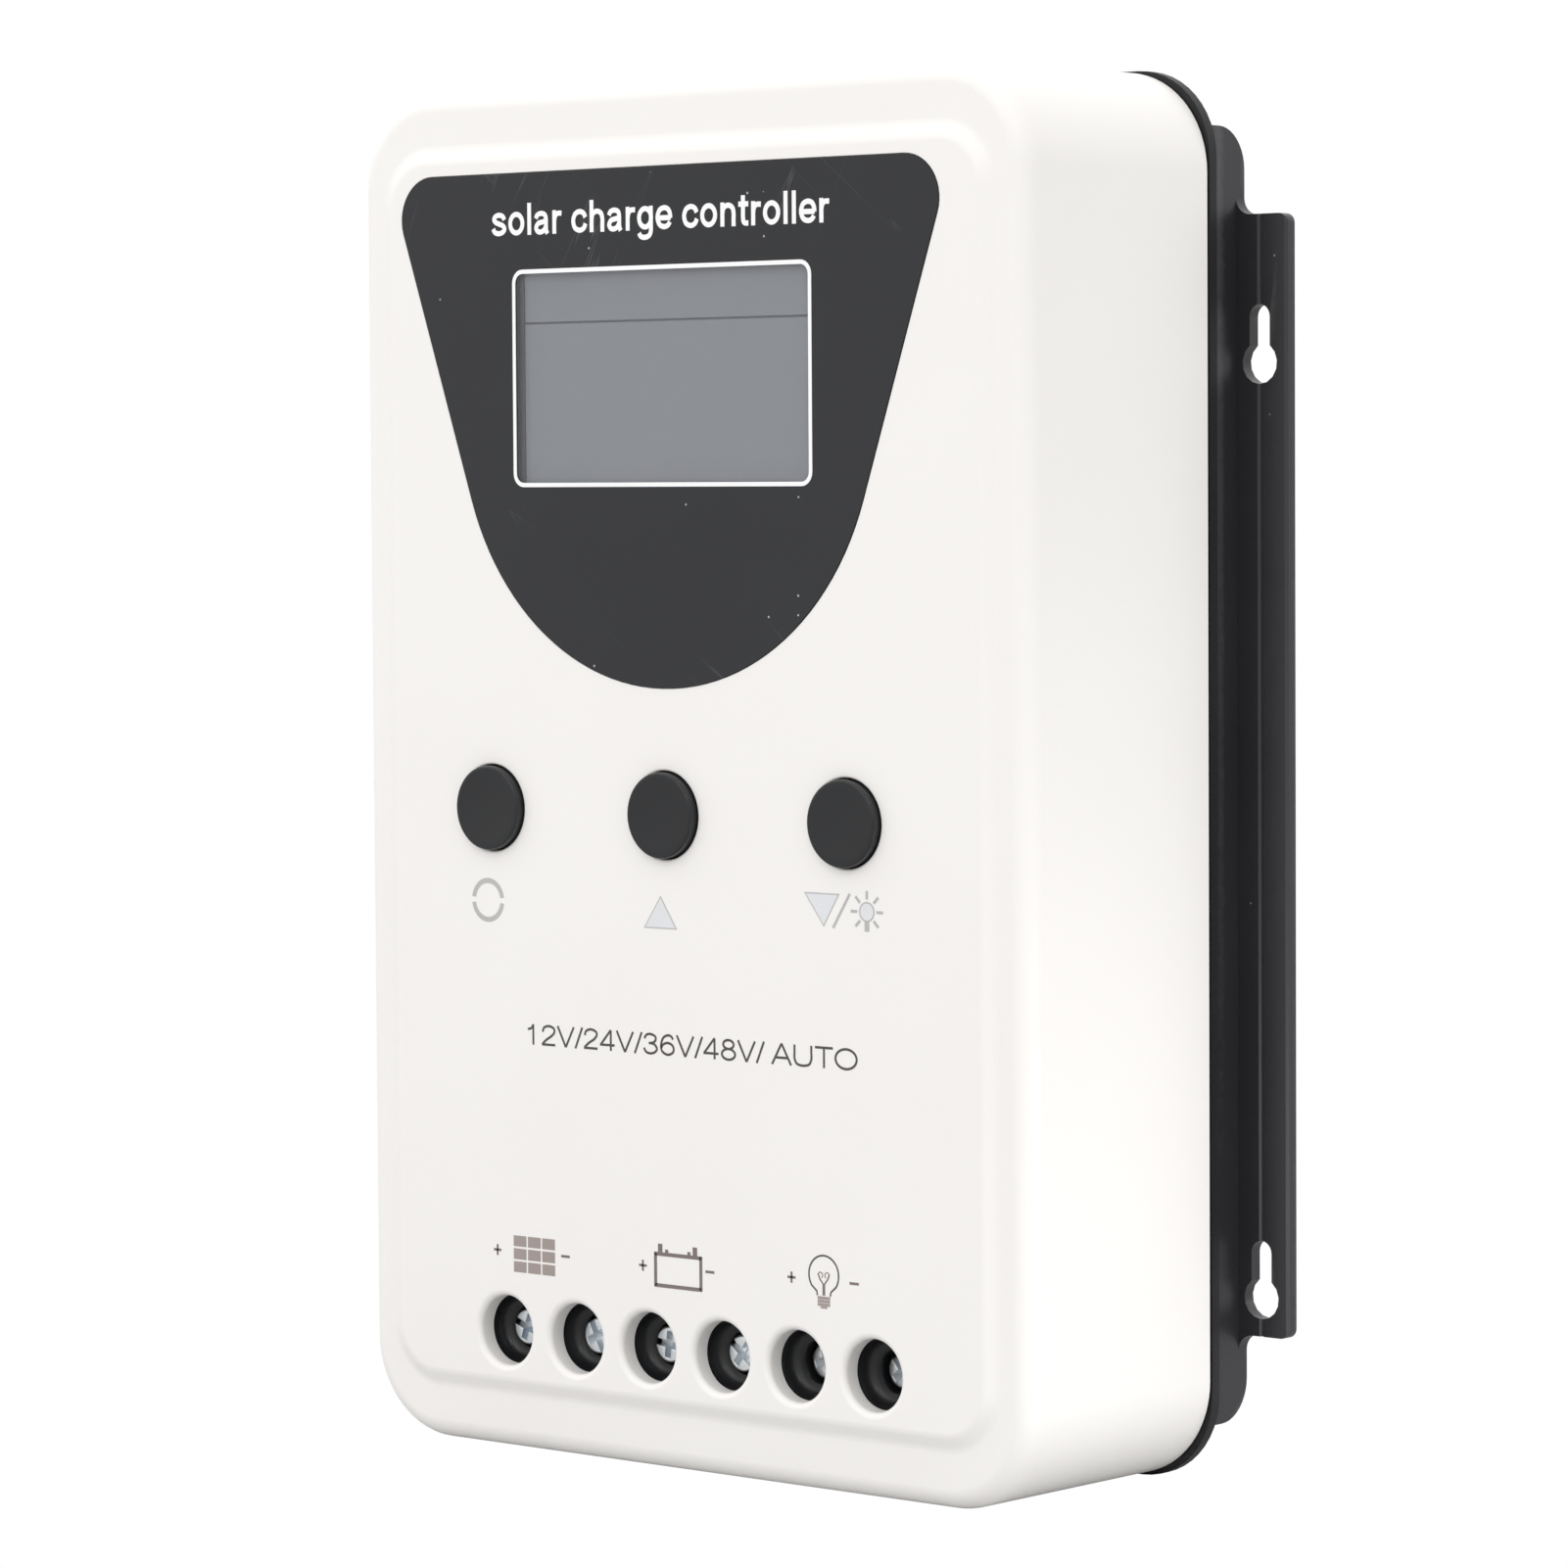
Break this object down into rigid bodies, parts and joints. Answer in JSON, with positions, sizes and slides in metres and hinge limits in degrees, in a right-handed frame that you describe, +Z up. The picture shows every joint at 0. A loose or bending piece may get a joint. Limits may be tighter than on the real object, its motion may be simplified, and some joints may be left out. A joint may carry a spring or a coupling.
{
  "type": "solar charge controller",
  "caption": "Wall-mounted solar charge controller: white moulded cover, display, push buttons, screw terminals and a black finned heatsink with keyhole flanges.",
  "frame": {"origin": "centre of the bottom of the whole unit's bounding box", "axes": "+X to the right seen from the front, +Y back towards the wall, +Z up"},
  "size_m": [0.1426, 0.0534, 0.2004],
  "materials": {
    "white_plastic": "fine satin moulded ABS",
    "black_film": "satin printed polyester film",
    "clear_window": "clear film",
    "display_glass": "satin grey display glass",
    "black_plastic": "moulded black plastic",
    "button_rubber": "smooth matt black",
    "black_aluminium": "black anodised extrusion",
    "zinc_steel": "bright zinc plate",
    "brass": "plain brass",
    "circuit_board": "green solder mask",
    "nylon": "natural nylon",
    "grey_pad": "soft silicone pad",
    "ribbon_grey": "grey ribbon"
  },
  "bodies": {
    "housing": {"front_cover": "white_plastic", "display_panel": "black_film", "display_window": "clear_window", "lcd_module": "display_glass", "lcd_holder": "black_plastic", "rear_frame": "black_plastic", "heatsink": "black_aluminium", "case_screw_lower_left": "zinc_steel", "display_screw_lower_left": "zinc_steel", "board_post_lower_left": "nylon", "case_screw_lower_right": "zinc_steel", "display_screw_lower_right": "zinc_steel", "board_post_lower_right": "nylon", "case_screw_upper_left": "zinc_steel", "display_screw_upper_left": "zinc_steel", "board_post_upper_left": "nylon", "case_screw_upper_right": "zinc_steel", "display_screw_upper_right": "zinc_steel", "board_post_upper_right": "nylon", "display_board": "circuit_board", "main_board": "circuit_board", "button_switch_cycle": "black_plastic", "button_switch_up": "black_plastic", "button_switch_down": "black_plastic", "terminal_block_solar": "black_plastic", "terminal_block_battery": "black_plastic", "terminal_block_load": "black_plastic", "terminal_contact_solar_plus": "brass", "terminal_contact_solar_minus": "brass", "terminal_contact_battery_plus": "brass", "terminal_contact_battery_minus": "brass", "terminal_contact_load_plus": "brass", "terminal_contact_load_minus": "brass", "mosfet_1": "black_plastic", "mosfet_2": "black_plastic", "mosfet_3": "black_plastic", "mosfet_4": "black_plastic", "insulating_pad": "grey_pad", "capacitor_input": "black_plastic", "capacitor_output": "black_plastic", "controller_chip": "black_plastic", "ribbon_cable": "ribbon_grey"},
    "button_cycle": {"button_cap_cycle": "button_rubber", "button_plunger_cycle": "nylon"},
    "button_up": {"button_cap_up": "button_rubber", "button_plunger_up": "nylon"},
    "button_down": {"button_cap_down": "button_rubber", "button_plunger_down": "nylon"},
    "clamp_solar_plus": {"clamp_plate_solar_plus": "zinc_steel"},
    "screw_solar_plus": {"terminal_screw_solar_plus": "zinc_steel"},
    "clamp_solar_minus": {"clamp_plate_solar_minus": "zinc_steel"},
    "screw_solar_minus": {"terminal_screw_solar_minus": "zinc_steel"},
    "clamp_battery_plus": {"clamp_plate_battery_plus": "zinc_steel"},
    "screw_battery_plus": {"terminal_screw_battery_plus": "zinc_steel"},
    "clamp_battery_minus": {"clamp_plate_battery_minus": "zinc_steel"},
    "screw_battery_minus": {"terminal_screw_battery_minus": "zinc_steel"},
    "clamp_load_plus": {"clamp_plate_load_plus": "zinc_steel"},
    "screw_load_plus": {"terminal_screw_load_plus": "zinc_steel"},
    "clamp_load_minus": {"clamp_plate_load_minus": "zinc_steel"},
    "screw_load_minus": {"terminal_screw_load_minus": "zinc_steel"}
  },
  "joints": [
    {"name": "button_cycle_press", "type": "slide", "parent": "housing", "child": "button_cycle", "axis": [0, 1, 0], "range_m": [0, 0.0005], "stiffness_N_per_m": 800, "springref_m": -0.0005},
    {"name": "button_up_press", "type": "slide", "parent": "housing", "child": "button_up", "axis": [0, 1, 0], "range_m": [0, 0.0005], "stiffness_N_per_m": 800, "springref_m": -0.0005},
    {"name": "button_down_press", "type": "slide", "parent": "housing", "child": "button_down", "axis": [0, 1, 0], "range_m": [0, 0.0005], "stiffness_N_per_m": 800, "springref_m": -0.0005},
    {"name": "clamp_solar_plus_travel", "type": "slide", "parent": "housing", "child": "clamp_solar_plus", "axis": [0, 1, 0], "range_m": [-0.0005, 0.0035]},
    {"name": "screw_solar_plus_turn", "type": "hinge", "parent": "clamp_solar_plus", "child": "screw_solar_plus", "pos_m": [-0.03467, -0.0207, 0.0178], "axis": [0, 1, 0], "range_deg": [-360, 2520]},
    {"name": "clamp_solar_minus_travel", "type": "slide", "parent": "housing", "child": "clamp_solar_minus", "axis": [0, 1, 0], "range_m": [-0.0005, 0.0035]},
    {"name": "screw_solar_minus_turn", "type": "hinge", "parent": "clamp_solar_minus", "child": "screw_solar_minus", "pos_m": [-0.02053, -0.0207, 0.0178], "axis": [0, 1, 0], "range_deg": [-360, 2520]},
    {"name": "clamp_battery_plus_travel", "type": "slide", "parent": "housing", "child": "clamp_battery_plus", "axis": [0, 1, 0], "range_m": [-0.0005, 0.0035]},
    {"name": "screw_battery_plus_turn", "type": "hinge", "parent": "clamp_battery_plus", "child": "screw_battery_plus", "pos_m": [-0.00637, -0.0207, 0.0178], "axis": [0, 1, 0], "range_deg": [-360, 2520]},
    {"name": "clamp_battery_minus_travel", "type": "slide", "parent": "housing", "child": "clamp_battery_minus", "axis": [0, 1, 0], "range_m": [-0.0005, 0.0035]},
    {"name": "screw_battery_minus_turn", "type": "hinge", "parent": "clamp_battery_minus", "child": "screw_battery_minus", "pos_m": [0.00777, -0.0207, 0.0178], "axis": [0, 1, 0], "range_deg": [-360, 2520]},
    {"name": "clamp_load_plus_travel", "type": "slide", "parent": "housing", "child": "clamp_load_plus", "axis": [0, 1, 0], "range_m": [-0.0025, 0.0015]},
    {"name": "screw_load_plus_turn", "type": "hinge", "parent": "clamp_load_plus", "child": "screw_load_plus", "pos_m": [0.02193, -0.0187, 0.0178], "axis": [0, 1, 0], "range_deg": [-1800, 1080]},
    {"name": "clamp_load_minus_travel", "type": "slide", "parent": "housing", "child": "clamp_load_minus", "axis": [0, 1, 0], "range_m": [-0.0025, 0.0015]},
    {"name": "screw_load_minus_turn", "type": "hinge", "parent": "clamp_load_minus", "child": "screw_load_minus", "pos_m": [0.03608, -0.0187, 0.0178], "axis": [0, 1, 0], "range_deg": [-1800, 1080]}
  ],
  "couplings": [
    {"joint": "screw_solar_plus_turn", "follows": "clamp_solar_plus_travel", "rad_per_m": 12566},
    {"joint": "screw_solar_minus_turn", "follows": "clamp_solar_minus_travel", "rad_per_m": 12566},
    {"joint": "screw_battery_plus_turn", "follows": "clamp_battery_plus_travel", "rad_per_m": 12566},
    {"joint": "screw_battery_minus_turn", "follows": "clamp_battery_minus_travel", "rad_per_m": 12566},
    {"joint": "screw_load_plus_turn", "follows": "clamp_load_plus_travel", "rad_per_m": 12566},
    {"joint": "screw_load_minus_turn", "follows": "clamp_load_minus_travel", "rad_per_m": 12566}
  ]
}
